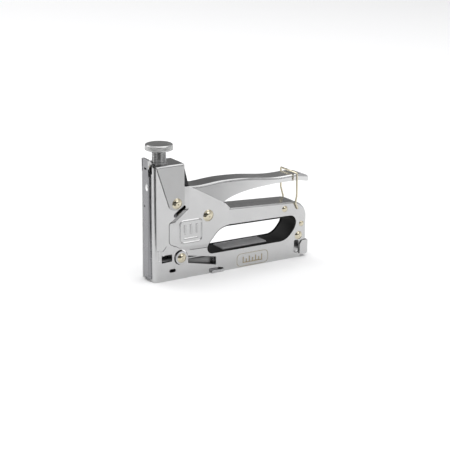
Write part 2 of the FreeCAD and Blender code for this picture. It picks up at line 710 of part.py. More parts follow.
def staple_strip():
    """Strip of staples on the rail, points down."""
    half = STAPLE_CROWN / 2
    top = STAPLE_REST + STAPLE_LEG
    outer = box(STRIP_FRONT, STRIP_FRONT + STRIP_LENGTH, -half, half, STAPLE_REST, top)
    inside = box(STRIP_FRONT - 1, STRIP_FRONT + STRIP_LENGTH + 1, -half + STAPLE_WIRE, half - STAPLE_WIRE,
                 STAPLE_REST - 1, top - STAPLE_WIRE)
    return outer.cut(inside)


def pusher():
    """Saddle behind the staples, with a tongue down to the rod inside the rail."""
    x0 = STRIP_FRONT + STRIP_LENGTH + 0.3
    x1 = x0 + PUSHER_LENGTH
    half = STAPLE_CROWN / 2
    top = STAPLE_REST + STAPLE_LEG
    saddle = box(x0, x1, -half, half, STAPLE_REST, top + 0.4)
    inside = box(x0 - 1, x1 + 1, -half + STAPLE_WIRE, half - STAPLE_WIRE, 0, top - STAPLE_WIRE + 0.3)
    tongue = box(x0, x1, -0.9, 0.9, ROD_HEIGHT, top)
    collar = Part.makeCylinder(ROD_R + 1.2, PUSHER_LENGTH, V(x0, 0, ROD_HEIGHT), V(1, 0, 0))
    bore = Part.makeCylinder(ROD_R + RUN, PUSHER_LENGTH + 2, V(x0 - 1, 0, ROD_HEIGHT), V(1, 0, 0))
    return clean(saddle.cut(inside).multiFuse([tongue, collar]).cut(bore))


def pusher_rod():
    front = STRIP_FRONT + 4.0
    return Part.makeCylinder(ROD_R, latch_back() - front, V(front, 0, ROD_HEIGHT), V(1, 0, 0))


def pusher_spring():
    """Space taken by the pusher's compression spring on the rod."""
    x0 = STRIP_FRONT + STRIP_LENGTH + PUSHER_LENGTH + 0.3
    length = BASE_LENGTH - 4.0 - x0
    outer = Part.makeCylinder(PUSHER_SPRING_R, length, V(x0, 0, ROD_HEIGHT), V(1, 0, 0))
    return tube(outer, Part.makeCylinder(ROD_R + 0.5, length + 2, V(x0 - 1, 0, ROD_HEIGHT), V(1, 0, 0)))


def latch_back():
    """Front face of the latch's cross wall, clear of the shells."""
    return GRIP_REAR + GAP


def rear_latch():
    """Channel-shaped clip behind the magazine: two cheeks outside the shells and a cross wall."""
    inside = HALF + GAP
    outside = inside + 1.0
    front = BASE_LENGTH - 1.7
    back = latch_back() + 1.0
    cheek = [
        (front, 2.6, 1.0), (front, LATCH_HEIGHT - 3.6, 1.5), (front + 2.6, LATCH_HEIGHT, 1.0),
        (back, LATCH_HEIGHT, 0.5), (back, 4.4, 1.0), (back - 1.6, 2.2, 1.0),
    ]
    whole = slab(rounded(cheek), -outside, outside)
    inner = box(front - 5, back - 1.0, -inside, inside, -5, LATCH_HEIGHT + 5)
    stop = box(BASE_LENGTH - 4.0 + 0.3, latch_back(), -PUSHER_SPRING_R, PUSHER_SPRING_R, 3.0, 10.2)
    hole = Part.makeCylinder(ROD_R, 20, V(BASE_LENGTH - 8, 0, ROD_HEIGHT), V(1, 0, 0))
    return clean(whole.cut(inner).fuse(stop.cut(hole)))


# Wire bail

def bent_wire(points, radius, bend):
    """Round wire through the points, with tangent arcs of radius bend at the corners."""
    edges = []
    last = points[0]
    for i in range(1, len(points) - 1):
        corner = points[i]
        back = (points[i - 1] - corner).normalize()
        ahead = (points[i + 1] - corner).normalize()
        half = back.getAngle(ahead) / 2
        reach = bend / math.tan(half)
        start = corner + back * reach
        end = corner + ahead * reach
        inward = (back + ahead).normalize()
        middle = corner + inward * (bend / math.sin(half) - bend)
        edges.append(Part.LineSegment(last, start).toShape())
        edges.append(Part.Arc(start, middle, end).toShape())
        last = end
    edges.append(Part.LineSegment(last, points[-1]).toShape())
    path = Part.Wire(edges)
    section = Part.Wire(Part.Circle(points[0], points[1] - points[0], radius).toShape())
    return path.makePipeShell([section], True, True)


def lock_bail():
    """Wire loop hinged in the shells that holds the handle down."""
    x, z = BAIL_PIVOT
    inside = INNER - 1.0
    near = [(0, 0), (-2.7, 5.8), (-1.5, 12.5), (-1.8, BAIL_TOP - z)]
    far = [(0, 0), (1.5, 6.0), (-1.2, 15.0), (-1.8, BAIL_TOP - z)]
    half = [V(x, -inside, z)] + [V(x + dx, -BAIL_Y, z + dz) for dx, dz in near]
    other = [V(x, inside, z)] + [V(x + dx, BAIL_Y, z + dz) for dx, dz in far]
    other.reverse()
    return bent_wire(half + other, WIRE_R, 1.3)


def build():
    os.makedirs("parts", exist_ok=True)
    shell = left_shell()
    save("left_shell", shell)
    save("right_shell", mirrored(shell))
    save("head_cap", head_cap())
    save("threaded_bush", threaded_bush())
    save("rear_guard", rear_guard())
    save("front_plate", front_plate())
    save("front_plate_pin", front_plate_pin())
    save("head_rivet", rivet(HEAD_RIVET, HEAD_RIVET_R, PIVOT_SHANK_R, HALF + CAP_SHEET))
    save("pivot_rivet", rivet(PIVOT, PIVOT_R, PIVOT_SHANK_R, HALF + PAD_RAISE))
    save("magazine_rivet", rivet(MAG_RIVET, MAG_RIVET_R, 2.0, HALF))
    save("grip_rivet", rivet(GRIP_RIVET, GRIP_RIVET_R, 1.4, HALF))
    save("rear_small_rivet", rivet(REAR_SMALL_RIVET, REAR_SMALL_RIVET_R, 1.3, HALF))
    save("rear_large_rivet", rivet(REAR_LARGE_RIVET, REAR_LARGE_RIVET_R, 1.9, HALF))
    save("pivot_washers", Part.makeCompound(pivot_washers()))
    save("grip_liner", grip_liner())
    save("liner_insert", liner_insert())
    save("squeeze_handle", squeeze_handle())
    save("return_spring", return_spring())
    save("plunger", plunger())
    save("driver_blade", driver_blade())
    save("bumper", bumper())
    save("bumper_bracket", bumper_bracket())
    save("driver_guide", driver_guide())
    save("main_spring", main_spring())
    save("spring_seat", spring_seat())
    save("tension_screw", tension_screw())
    save("tension_knob", tension_knob())
    save("trip_lever", trip_lever())
    save("trip_pin", trip_pin())
    save("magazine_channel", magazine_channel())
    save("staple_rail", staple_rail())
    save("staple_strip", staple_strip())
    save("pusher", pusher())
    save("pusher_rod", pusher_rod())
    save("pusher_spring", pusher_spring())
    save("rear_latch", rear_latch())
    save("lock_bail", lock_bail())


build()
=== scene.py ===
"""Hand staple gun of plated pressed steel, standing on its base on a pale studio floor."""
import math

import bmesh
import bpy
import numpy as np
from mathutils import Matrix, Vector


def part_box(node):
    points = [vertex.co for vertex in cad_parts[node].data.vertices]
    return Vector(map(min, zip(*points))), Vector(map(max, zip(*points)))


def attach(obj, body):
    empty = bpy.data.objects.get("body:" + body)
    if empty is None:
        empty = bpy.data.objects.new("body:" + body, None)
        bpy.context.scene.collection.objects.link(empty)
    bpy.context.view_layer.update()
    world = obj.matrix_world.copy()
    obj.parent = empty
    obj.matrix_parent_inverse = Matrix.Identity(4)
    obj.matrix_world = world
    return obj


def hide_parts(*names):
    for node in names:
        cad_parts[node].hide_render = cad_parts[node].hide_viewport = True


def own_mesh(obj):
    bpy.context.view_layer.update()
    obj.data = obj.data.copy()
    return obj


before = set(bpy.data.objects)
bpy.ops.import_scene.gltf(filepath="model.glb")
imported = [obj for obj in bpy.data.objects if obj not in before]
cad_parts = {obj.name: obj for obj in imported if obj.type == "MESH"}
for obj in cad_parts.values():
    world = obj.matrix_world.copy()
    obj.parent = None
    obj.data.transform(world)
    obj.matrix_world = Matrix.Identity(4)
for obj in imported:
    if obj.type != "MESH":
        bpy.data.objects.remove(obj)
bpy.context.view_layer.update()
MM = 0.001


# Studio: a white sweep, two large lamps overhead, two soft lamps in front and a pale sky. Grey cards in front, on the
# left and at the rear give the bright metal something dark to reflect, so that folds and flat tops stand out.
FLOOR_SIZE = 16.0
FLOOR_WHITE = (0.93, 0.93, 0.93)
SKY = [(-1.0, 0.9), (0.1, 0.9), (0.35, 0.6), (0.7, 0.6), (1.0, 0.8)]
LAMPS = [
    # name, place, width, depth, watts
    ("lamp_overhead", (0.35, -0.05, 1.70), 2.0, 1.7, 16.5),
    ("lamp_back", (-1.00, 2.80, 2.20), 3.0, 1.6, 36.0),
    ("lamp_front", (0.55, -1.60, 0.95), 1.0, 0.8, 4.0),
    ("lamp_nose", (-1.50, -0.35, 0.80), 0.7, 0.7, 1.2),
]
CARDS = [
    # name, corners, brightness
    ("card_front", [(-2.2, -1.9, 0.0), (1.8, -2.6, 0.0), (1.8, -2.6, 1.3), (-2.2, -1.9, 1.3)], 0.03),
    ("card_left", [(-0.90, -0.90, 0.002), (0.012, -0.90, 0.002), (0.012, -0.10, 0.002), (-0.90, -0.10, 0.002)], 0.08),
    ("card_rear", [(-1.5, 3.0, 0.15), (4.5, 3.0, 0.15), (4.5, 3.0, 2.4), (-1.5, 3.0, 2.4)], 0.20),
]
CAMERA_PLACE = (-0.5086, -0.9492, 0.3720)
CAMERA_YAW, CAMERA_PITCH, CAMERA_ROLL = 31.76, 16.64, 0.53
CAMERA_LENS = 103.7


def studio_sky():
    """Brightness by height of the direction: the ramp SKY, as pairs of sine of elevation and grey."""
    world = bpy.data.worlds.new("studio")
    world.use_nodes = True
    bpy.context.scene.world = world
    tree = world.node_tree
    place = tree.nodes.new("ShaderNodeTexCoord")
    split = tree.nodes.new("ShaderNodeSeparateXYZ")
    height = tree.nodes.new("ShaderNodeMapRange")
    height.inputs["From Min"].default_value = -1.0
    ramp = tree.nodes.new("ShaderNodeValToRGB")
    stops = ramp.color_ramp.elements
    while len(stops) < len(SKY):
        stops.new(0.5)
    for stop, (sine, grey) in zip(stops, SKY):
        stop.position = (sine + 1) / 2
        stop.color = (grey, grey, grey * 1.01, 1)
    tree.links.new(place.outputs["Generated"], split.inputs[0])
    tree.links.new(split.outputs["Z"], height.inputs["Value"])
    tree.links.new(height.outputs[0], ramp.inputs[0])
    tree.links.new(ramp.outputs[0], tree.nodes["Background"].inputs["Color"])


def studio_lamp(name, place, width, depth, watts):
    lamp = bpy.data.lights.new(name, "AREA")
    lamp.shape = "RECTANGLE"
    lamp.size, lamp.size_y, lamp.energy = width, depth, watts
    holder = bpy.data.objects.new(name, lamp)
    holder.location = place
    aim = Vector((0.08, 0.0, 0.05)) - Vector(place)
    holder.rotation_euler = aim.to_track_quat("-Z", "Y").to_euler()
    bpy.context.scene.collection.objects.link(holder)


def studio_card(name, corners, grey):
    """A flat grey card that only the metal's reflections see; the camera and the light pass through it."""
    mesh = bpy.data.meshes.new(name)
    mesh.from_pydata(corners, [], [(0, 1, 2, 3)])
    paint = bpy.data.materials.new(name + "_grey")
    paint.use_nodes = True
    shader = paint.node_tree.nodes["Principled BSDF"]
    shader.inputs["Base Color"].default_value = (0, 0, 0, 1)
    shader.inputs["Emission Color"].default_value = (1, 1, 1, 1)
    shader.inputs["Emission Strength"].default_value = grey
    mesh.materials.append(paint)
    card = bpy.data.objects.new(name, mesh)
    card.visible_camera = card.visible_diffuse = card.visible_shadow = False
    bpy.context.scene.collection.objects.link(card)


def studio_floor():
    half = FLOOR_SIZE / 2
    mesh = bpy.data.meshes.new("floor")
    mesh.from_pydata([(-half, -half, 0), (half, -half, 0), (half, half, 0), (-half, half, 0)], [], [(0, 1, 2, 3)])
    paint = bpy.data.materials.new("floor_paint")
    paint.use_nodes = True
    shader = paint.node_tree.nodes["Principled BSDF"]
    shader.inputs["Base Color"].default_value = (*FLOOR_WHITE, 1)
    shader.inputs["Roughness"].default_value = 0.9
    mesh.materials.append(paint)
    floor = bpy.data.objects.new("floor", mesh)
    bpy.context.scene.collection.objects.link(floor)


def studio_camera():
    """Stands in front of the nose on the -Y side and looks down a little, with a long lens."""
    lens = bpy.data.cameras.new("camera")
    lens.lens = CAMERA_LENS
    lens.sensor_width = 36.0
    lens.clip_start = 0.05
    camera = bpy.data.objects.new("camera", lens)
    yaw, pitch = math.radians(CAMERA_YAW), math.radians(CAMERA_PITCH)
    ahead = Vector((math.sin(yaw) * math.cos(pitch), math.cos(yaw) * math.cos(pitch), -math.sin(pitch)))
    turn = ahead.to_track_quat("-Z", "Y").to_matrix() @ Matrix.Rotation(math.radians(CAMERA_ROLL), 3, "Z")
    camera.matrix_world = Matrix.Translation(CAMERA_PLACE) @ turn.to_4x4()
    bpy.context.scene.collection.objects.link(camera)
    bpy.context.scene.camera = camera


studio_sky()
for lamp_row in LAMPS:
    studio_lamp(*lamp_row)
studio_floor()
for card_row in CARDS:
    studio_card(*card_row)
studio_camera()
bpy.context.scene.view_settings.view_transform = "Standard"


# Side shells: two mirror-image pressings of 1.2 mm sheet steel, satin nickel plated. Each is bent round the nose
# and over the grip bar, and its middle is pressed outward; the rivets hold the pair together.
HALF = -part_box("left_shell")[0].y / MM - 1.0  # outside of the flat sheet, without the pressed-out middle
PAD_Y = HALF + 1.0
SHEET = 1.2


def plated(name, colour, roughness, cloud=0.06, grain=0.05):
    """Plated steel: slow clouds in the colour and gloss, and a fine brushed grain along X in the bump."""
    material = bpy.data.materials.new(name)
    material.use_nodes = True
    tree = material.node_tree
    shader = tree.nodes["Principled BSDF"]
    shader.inputs["Metallic"].default_value = 1.0
    place = tree.nodes.new("ShaderNodeTexCoord")
    clouds = tree.nodes.new("ShaderNodeTexNoise")
    clouds.inputs["Scale"].default_value = 55.0
    clouds.inputs["Detail"].default_value = 5.0
    clouds.inputs["Roughness"].default_value = 0.6
    tint = tree.nodes.new("ShaderNodeMix")
    tint.data_type = "RGBA"
    tint.inputs["A"].default_value = (*[c * (1 - cloud) for c in colour], 1)
    tint.inputs["B"].default_value = (*[min(1.0, c * (1 + cloud)) for c in colour], 1)
    specks = tree.nodes.new("ShaderNodeTexNoise")
    specks.inputs["Scale"].default_value = 85.0
    specks.inputs["Detail"].default_value = 3.0
    gloss = tree.nodes.new("ShaderNodeMapRange")
    gloss.inputs["From Min"].default_value = 0.3
    gloss.inputs["From Max"].default_value = 0.7
    gloss.inputs["To Min"].default_value = max(0.04, roughness - 0.05)
    gloss.inputs["To Max"].default_value = roughness + 0.05
    stretch = tree.nodes.new("ShaderNodeMapping")
    stretch.inputs["Scale"].default_value = (120.0, 2600.0, 2600.0)
    brush = tree.nodes.new("ShaderNodeTexNoise")
    brush.inputs["Scale"].default_value = 1.0
    brush.inputs["Detail"].default_value = 3.0
    bump = tree.nodes.new("ShaderNodeBump")
    bump.inputs["Strength"].default_value = grain
    bump.inputs["Distance"].default_value = 0.00002
    link = tree.links.new
    link(place.outputs["Object"], clouds.inputs["Vector"])
    link(place.outputs["Object"], specks.inputs["Vector"])
    link(place.outputs["Object"], stretch.inputs["Vector"])
    link(stretch.outputs[0], brush.inputs["Vector"])
    link(clouds.outputs["Fac"], tint.inputs["Factor"])
    link(tint.outputs["Result"], shader.inputs["Base Color"])
    link(specks.outputs["Fac"], gloss.inputs["Value"])
    link(gloss.outputs[0], shader.inputs["Roughness"])
    link(brush.outputs["Fac"], bump.inputs["Height"])
    link(bump.outputs[0], shader.inputs["Normal"])
    return material


SATIN = plated("satin_nickel", (0.53, 0.53, 0.53), 0.22, cloud=0.08)


def finished(node, material):
    """Keeps a node as it is and gives it its finish."""
    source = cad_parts[node]
    source.data.materials.clear()
    source.data.materials.append(material)


finished("left_shell", SATIN)
finished("right_shell", SATIN)


# Pressed marks on the shells: a framed set of bars on the raised middle, a small oblong and a short curved step on
# the nose. All are sunk into or raised from the sheet by the same press stroke, so they have soft sides.
MARK_X, MARK_Z = 36.0, 42.6
MARK_STEP, MARK_LAP = 0.17, 0.04
BAR_RISE = 0.75


def grid_mesh(name, points, ring_rows=False, ring_columns=False, inside_out=False):
    """Quads through a grid of points in metres; a ring joins the last row or column to the first."""
    rows, columns = points.shape[:2]
    row, column = np.meshgrid(
        np.arange(rows if ring_rows else rows - 1), np.arange(columns if ring_columns else columns - 1), indexing="ij")
    next_row, next_column = (row + 1) % rows, (column + 1) % columns
    quads = np.stack([
        row * columns + column, next_row * columns + column,
        next_row * columns + next_column, row * columns + next_column], axis=2).reshape(-1, 4)
    mesh = bpy.data.meshes.new(name)
    mesh.from_pydata(points.reshape(-1, 3).tolist(), [], (quads[:, ::-1] if inside_out else quads).tolist())
    mesh.shade_smooth()
    return mesh


def oblong(x, z, half_width, half_height, corner):
    """Signed distance from a rounded oblong about the origin: negative inside, and zero on its outline."""
    dx = np.abs(x) - half_width + corner
    dz = np.abs(z) - half_height + corner
    outside = np.hypot(np.maximum(dx, 0), np.maximum(dz, 0))
    return outside + np.minimum(np.maximum(dx, dz), 0) - corner


def ridge(distance, width):
    """Soft ridge along the line where distance is nought: a raised cosine of that half width."""
    return np.where(np.abs(distance) < width, 0.5 + 0.5 * np.cos(np.pi * distance / width), 0.0)


def plateau(distance, slope):
    """One inside the outline, falling smoothly to nought over slope outside it."""
    t = np.clip(1 - (distance + slope) / slope, 0, 1)
    return t * t * (3 - 2 * t)


def framed_bars(x, z):
    """Ridge along a rounded frame, three upright bars in it and a level bar below them."""
    x, z = x - MARK_X, z - MARK_Z
    height = BAR_RISE * ridge(oblong(x, z, 11.0, 10.0, 3.5), 0.95)
    for centre in (-6.0, 0.0, 6.0):
        height = np.maximum(height, BAR_RISE * plateau(oblong(x - centre, z - 2.2, 1.3, 4.8, 1.2), 0.9))
    return np.maximum(height, BAR_RISE * plateau(oblong(x, z + 6.2, 7.4, 0.9, 0.8), 0.9))


def nose_oblong(x, z):
    return 0.4 * ridge(oblong(x - 5.2, z - 24.0, 1.5, 4.9, 0.5), 0.5)


def nose_step(x, z):
    """A step that curves down from the raised middle towards the front window."""
    line = 7.3 + 5.2 * np.sin(np.clip((z - 26.6) / 6.6, 0, 1) * np.pi / 2)
    return 0.32 * ridge(x - line, 0.7) * plateau(np.abs(z - 29.6) - 2.6, 1.0)


def placed(name, mesh, body, material, nodes=()):
    """Puts a finished mesh in the scene on its body, in place of the nodes it stands for."""
    mesh.materials.clear()
    mesh.materials.append(material)
    piece = bpy.data.objects.new(name, mesh)
    bpy.context.scene.collection.objects.link(piece)
    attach(piece, body)
    if nodes:
        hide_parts(*nodes)
    return piece


def pressed_marks(name, x_range, z_range, wall, height, side):
    """A grid over x and z that stands out of a wall by height(x, z), and lies MARK_LAP inside it elsewhere."""
    x, z = np.meshgrid(np.arange(*x_range, MARK_STEP), np.arange(*z_range, MARK_STEP), indexing="ij")
    y = side * (wall - MARK_LAP + height(x, z))
    mesh = grid_mesh(name, np.stack([x, y, z], axis=2) * MM, inside_out=side < 0)
    placed(name, mesh, "housing", SATIN)


for side, shell in ((-1, "near"), (1, "far")):
    pressed_marks("framed_bars_" + shell, (24.2, 47.8), (31.8, 53.4), PAD_Y, framed_bars, side)
    pressed_marks("nose_oblong_" + shell, (3.2, 7.2), (18.4, 29.6), HALF, nose_oblong, side)
    pressed_marks("nose_step_" + shell, (6.2, 13.4), (25.4, 33.6), HALF, nose_step, side)


# Etched mark on the magazine side: a fine frame with a row of gauge ticks in it, etched through the plate so that it
# shows as a dull gold-brown line. Only the near side has it.
ETCH_X, ETCH_Z = 101.2, 6.9
ETCH_HALF = (16.6, 5.9)
ETCH_CORNER, ETCH_THICK = 4.2, 0.03
OUTLINE_WIDTH, BASE_WIDTH, TICK_WIDTH = 0.45, 0.9, 1.0
TICK_COUNT = 7


def etched_steel():
    """Dull brown of etched plate, mottled finely."""
    material = bpy.data.materials.new("etched_steel")
    material.use_nodes = True
    tree = material.node_tree
    shader = tree.nodes["Principled BSDF"]
    shader.inputs["Metallic"].default_value = 0.55
    shader.inputs["Roughness"].default_value = 0.5
    place = tree.nodes.new("ShaderNodeTexCoord")
    mottle = tree.nodes.new("ShaderNodeTexNoise")
    mottle.inputs["Scale"].default_value = 900.0
    tint = tree.nodes.new("ShaderNodeMix")
    tint.data_type = "RGBA"
    tint.inputs["A"].default_value = (0.20, 0.165, 0.10, 1)
    tint.inputs["B"].default_value = (0.40, 0.34, 0.22, 1)
    tree.links.new(place.outputs["Object"], mottle.inputs["Vector"])
    tree.links.new(mottle.outputs["Fac"], tint.inputs["Factor"])
    tree.links.new(tint.outputs["Result"], shader.inputs["Base Color"])
    return material


def carried(name, path, section, steady, ring=False):
    """A section carried along a path, both in millimetres.

    At each point the path's direction is t, the section's first axis is the part of steady square to t, and its
    second is t x first. steady is never along the path, so the section doesn't spin.
    """
    if ring:
        along = np.roll(path, -1, axis=0) - np.roll(path, 1, axis=0)
    else:
        along = np.gradient(path, axis=0)
    along /= np.linalg.norm(along, axis=1, keepdims=True)
    first = np.asarray(steady, float) - (along @ np.asarray(steady, float))[:, None] * along
    first /= np.linalg.norm(first, axis=1, keepdims=True)
    second = np.cross(along, first)
    points = path[:, None] + section[None, :, :1] * first[:, None] + section[None, :, 1:] * second[:, None]
    mesh = grid_mesh(name, points * MM, ring_rows=ring, ring_columns=True)
    close_tube(mesh, len(path), len(section), () if ring else (0, (len(path) - 1) * len(section)))
    return mesh


def close_tube(mesh, rows, columns, ends):
    """Fills the tube's ends, given by their first point, and turns its faces outward."""
    form = bmesh.new()
    form.from_mesh(mesh)
    form.verts.ensure_lookup_table()
    for start in ends:
        form.faces.new([form.verts[start + i] for i in range(columns)])
    bmesh.ops.recalc_face_normals(form, faces=form.faces)
    form.to_mesh(mesh)
    form.free()
    mesh.shade_smooth()
    mesh.set_sharp_from_angle(angle=math.radians(40))


def merged(name, meshes):
    """One mesh of several."""
    form = bmesh.new()
    for mesh in meshes:
        form.from_mesh(mesh)
    whole = bpy.data.meshes.new(name)
    form.to_mesh(whole)
    form.free()
    return whole


def round_path(corners, radii, ring=False, steps=6):
    """Points along straight runs joined by arcs; corner i is rounded by radii[i], in steps + 1 points."""
    corners = np.asarray(corners, float)
    count = len(corners)
    path = []
    for i in range(count):
        if not ring and i in (0, count - 1) or radii[i] == 0:
            path.append(corners[i][None])
            continue
        back = corners[i - 1] - corners[i]
        ahead = corners[(i + 1) % count] - corners[i]
        back, ahead = back / np.linalg.norm(back), ahead / np.linalg.norm(ahead)
        half = math.acos(np.clip(back @ ahead, -1, 1)) / 2
        reach = radii[i] / math.tan(half)
        inward = (back + ahead) / np.linalg.norm(back + ahead)
        centre = corners[i] + inward * radii[i] / math.sin(half)
        start, end = corners[i] + back * reach - centre, corners[i] + ahead * reach - centre
        whole = math.pi - 2 * half
        turn = np.linspace(0, whole, steps + 1)[:, None]
        path.append(centre + (np.sin(whole - turn) * start + np.sin(turn) * end) / math.sin(whole))
    return np.concatenate(path)


def etched_line(path, width, ring=False):
    """A flat line on the shell's side, as wide as width and barely thicker than the plating."""
    section = np.array([(-ETCH_THICK, -width / 2), (-ETCH_THICK, width / 2), (0.02, width / 2), (0.02, -width / 2)])
    flat = np.stack([path[:, 0], np.full(len(path), -HALF), path[:, 1]], axis=1)
    return carried("line", flat, -section, (0, -1, 0), ring=ring)


half_x, half_z = ETCH_HALF
frame_corners = [(-half_x, -half_z), (half_x, -half_z), (half_x, half_z), (-half_x, half_z)]
etched_outline = round_path(frame_corners, [ETCH_CORNER] * 4, ring=True) + (ETCH_X, ETCH_Z)
etched = [etched_line(etched_outline, OUTLINE_WIDTH, ring=True)]
etched.append(etched_line(np.array([(-10.5, -2.6), (10.5, -2.6)]) + (ETCH_X, ETCH_Z), BASE_WIDTH))
for i in range(TICK_COUNT):
    tick_x, tick_top = -10.0 + i * 10.0 / 3, 2.9 if i % 2 == 0 else 0.9
    etched.append(etched_line(np.array([(tick_x, -2.2), (tick_x, tick_top)]) + (ETCH_X, ETCH_Z), TICK_WIDTH))
placed("etched_gauge", merged("etched_gauge", etched), "housing", etched_steel())


# Sheared shoulder edges: the slanting top edge of each shell, slightly rounded, in a paler and glossier nickel than
# the shell, so that a painted highlight runs along it.
SHOULDER_HIGHLIGHT_NICKEL = plated("painted_highlight_nickel", (0.86, 0.86, 0.86), 0.14)
SHOULDER = [(32.0, 83.3), (34.6, 83.0), (71.4, 62.5), (76.0, 57.6)]


def highlight_rim(name, side):
    """Half-round rim along the shoulder's sheared edge, carried from the head down to the grip bar; its paler nickel is
    a painted highlight.
    """
    path = round_path(SHOULDER, [0, 1.0, 2.0, 0], steps=4)
    turn = np.linspace(0, np.pi, 9)
    rim = np.stack([(SHEET / 2 + 0.06) * np.cos(turn), 0.5 * np.sin(turn) - 0.14], axis=1)
    level = np.full(len(path), side * (PAD_Y - SHEET / 2))
    return carried(name, np.stack([path[:, 0], level, path[:, 1]], axis=1), rim * (1, -1), (0, 1, 0))


placed("shoulder_edge_near", highlight_rim("shoulder_edge_near", -1), "housing", SHOULDER_HIGHLIGHT_NICKEL)
placed("shoulder_edge_far", highlight_rim("shoulder_edge_far", 1), "housing", SHOULDER_HIGHLIGHT_NICKEL)


# Press creases: the sharp foot of the raised middle on each shell. Each is a fine dark bead laid along the foot from
# the head down past the slot and back to the finger opening; its dark colour is painted shade in the crease.
CREASE_SHADE_NICKEL = plated("painted_crease_shade", (0.13, 0.13, 0.13), 0.45)
CREASE_HALF_WIDTH, CREASE_HEIGHT = 0.36, 0.13
CREASES = [
    # x, z and rounding of each corner: the upper run beside the cap's flap, and the lower run from the slot's low end
    [(29.9, 82.4, 0), (29.9, 68.0, 0)],
    [(17.4, 53.5, 0), (14.9, 51.6, 2.4), (14.9, 33.5, 4.0), (21.2, 30.2, 0)],
    [(35.5, 25.3, 0), (53.2, 24.8, 0)],
]


def shade_bead(corners, side):
    """Half an ellipse, carried along the foot's rounded corners on the shell's outer face; it carries the painted
    shade.
    """
    path = round_path([(x, z) for x, z, _ in corners], [rounding for _, _, rounding in corners], steps=5)
    turn = np.linspace(0, np.pi, 7)
    bead = np.stack([side * (CREASE_HEIGHT * np.sin(turn) - 0.03), CREASE_HALF_WIDTH * np.cos(turn)], axis=1)
    level = np.full(len(path), side * HALF)
    return carried("crease", np.stack([path[:, 0], level, path[:, 1]], axis=1), bead, (0, 1, 0))


for side, name in ((-1, "press_creases_near"), (1, "press_creases_far")):
    creases = merged(name, [shade_bead(corners, side) for corners in CREASES])
    placed(name, creases, "housing", CREASE_SHADE_NICKEL)


# Head cap: an inverted channel of 1 mm sheet over the spring housing, folded down into a flap on each side. It is
# nickel plated, a little darker than the shells, and the head rivet holds its flaps to them.
def joined_triangles(node, name):
    """The node's triangles with shared corners merged and level neighbours joined into larger faces."""
    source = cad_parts[node].data
    points = np.empty(len(source.vertices) * 3, np.float32)
    source.vertices.foreach_get("co", points)
    corners = np.empty(len(source.loops), np.int32)
    source.loops.foreach_get("vertex_index", corners)
    mesh = bpy.data.meshes.new(name)
    mesh.from_pydata(points.reshape(-1, 3).tolist(), [], corners.reshape(-1, 3).tolist())
    form = bmesh.new()
    form.from_mesh(mesh)
    bmesh.ops.remove_doubles(form, verts=form.verts, dist=2e-6)
    bmesh.ops.dissolve_limit(form, angle_limit=0.003, verts=form.verts, edges=form.edges)
    form.to_mesh(mesh)
    form.free()
    return mesh


def pressed(node, name, body, material, edge=0.2):
    """A sheet-metal or turned node with its sharp edges rounded by edge, in millimetres."""
    mesh = joined_triangles(node, name)
    mesh.shade_smooth()
    piece = placed(name, mesh, body, material, [node])
    soften = piece.modifiers.new("soften", "BEVEL")
    soften.limit_method, soften.angle_limit = "ANGLE", math.radians(32)
    soften.width, soften.segments = edge * MM, 2
    soften.miter_outer = "MITER_ARC"
    level = piece.modifiers.new("level", "WEIGHTED_NORMAL")
    level.keep_sharp = True
    return piece


CAP = plated("cap_nickel", (0.40, 0.40, 0.40), 0.22, cloud=0.05)
pressed("head_cap", "head_cap_sheet", "housing", CAP, 0.25)


# Bush: a flanged ring turned from steel and plated with the cap. It is pressed into the cap's top and tapped for the
# tension screw.
pressed("threaded_bush", "bush", "housing", CAP, 0.15)


# Rear guard: a bent steel sheet, blackened with oxide, that closes the back of the head above the handle. It is held
# between the shells.
def blacked(name, grey, roughness, metal=0.0, scale=260.0, depth=0.25, gloss_level=0.5):
    """Dark finish with a fine even texture: black oxide, rubber or moulded plastic by its numbers."""
    material = bpy.data.materials.new(name)
    material.use_nodes = True
    tree = material.node_tree
    shader = tree.nodes["Principled BSDF"]
    shader.inputs["Metallic"].default_value = metal
    shader.inputs["Specular IOR Level"].default_value = gloss_level
    place = tree.nodes.new("ShaderNodeTexCoord")
    texture = tree.nodes.new("ShaderNodeTexNoise")
    texture.inputs["Scale"].default_value = scale * 8
    texture.inputs["Detail"].default_value = 2.0
    patches = tree.nodes.new("ShaderNodeTexNoise")
    patches.inputs["Scale"].default_value = scale / 3
    tint = tree.nodes.new("ShaderNodeMix")
    tint.data_type = "RGBA"
    tint.inputs["A"].default_value = (*[g * 0.8 for g in grey], 1)
    tint.inputs["B"].default_value = (*[g * 1.25 for g in grey], 1)
    gloss = tree.nodes.new("ShaderNodeMapRange")
    gloss.inputs["To Min"].default_value = roughness - 0.1
    gloss.inputs["To Max"].default_value = roughness + 0.1
    bump = tree.nodes.new("ShaderNodeBump")
    bump.inputs["Strength"].default_value = depth
    bump.inputs["Distance"].default_value = 0.00005
    link = tree.links.new
    link(place.outputs["Object"], texture.inputs["Vector"])
    link(place.outputs["Object"], patches.inputs["Vector"])
    link(patches.outputs["Fac"], tint.inputs["Factor"])
    link(tint.outputs["Result"], shader.inputs["Base Color"])
    link(patches.outputs["Fac"], gloss.inputs["Value"])
    link(gloss.outputs[0], shader.inputs["Roughness"])
    link(texture.outputs["Fac"], bump.inputs["Height"])
    link(bump.outputs[0], shader.inputs["Normal"])
    return material


BLACK_OXIDE = blacked("black_oxide", (0.012, 0.012, 0.013), 0.38, metal=0.3)
pressed("rear_guard", "guard_plate", "housing", BLACK_OXIDE, 0.25)


# Front plate: a flat plated strip of steel over the blade's slot, with an oval dimple pressed outward near its top.
# Its cross pin of zinc-plated steel holds it between the shells.
PLATE = plated("front_plate_steel", (0.27, 0.27, 0.28), 0.28, cloud=0.1)
plate_low, plate_high = (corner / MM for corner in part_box("front_plate"))
pressed("front_plate", "front_strip", "housing", PLATE, 0.2)
ROLL_REACH, ROLL_LAP, ROLL_TOP = 1.5, 0.3, 94.8


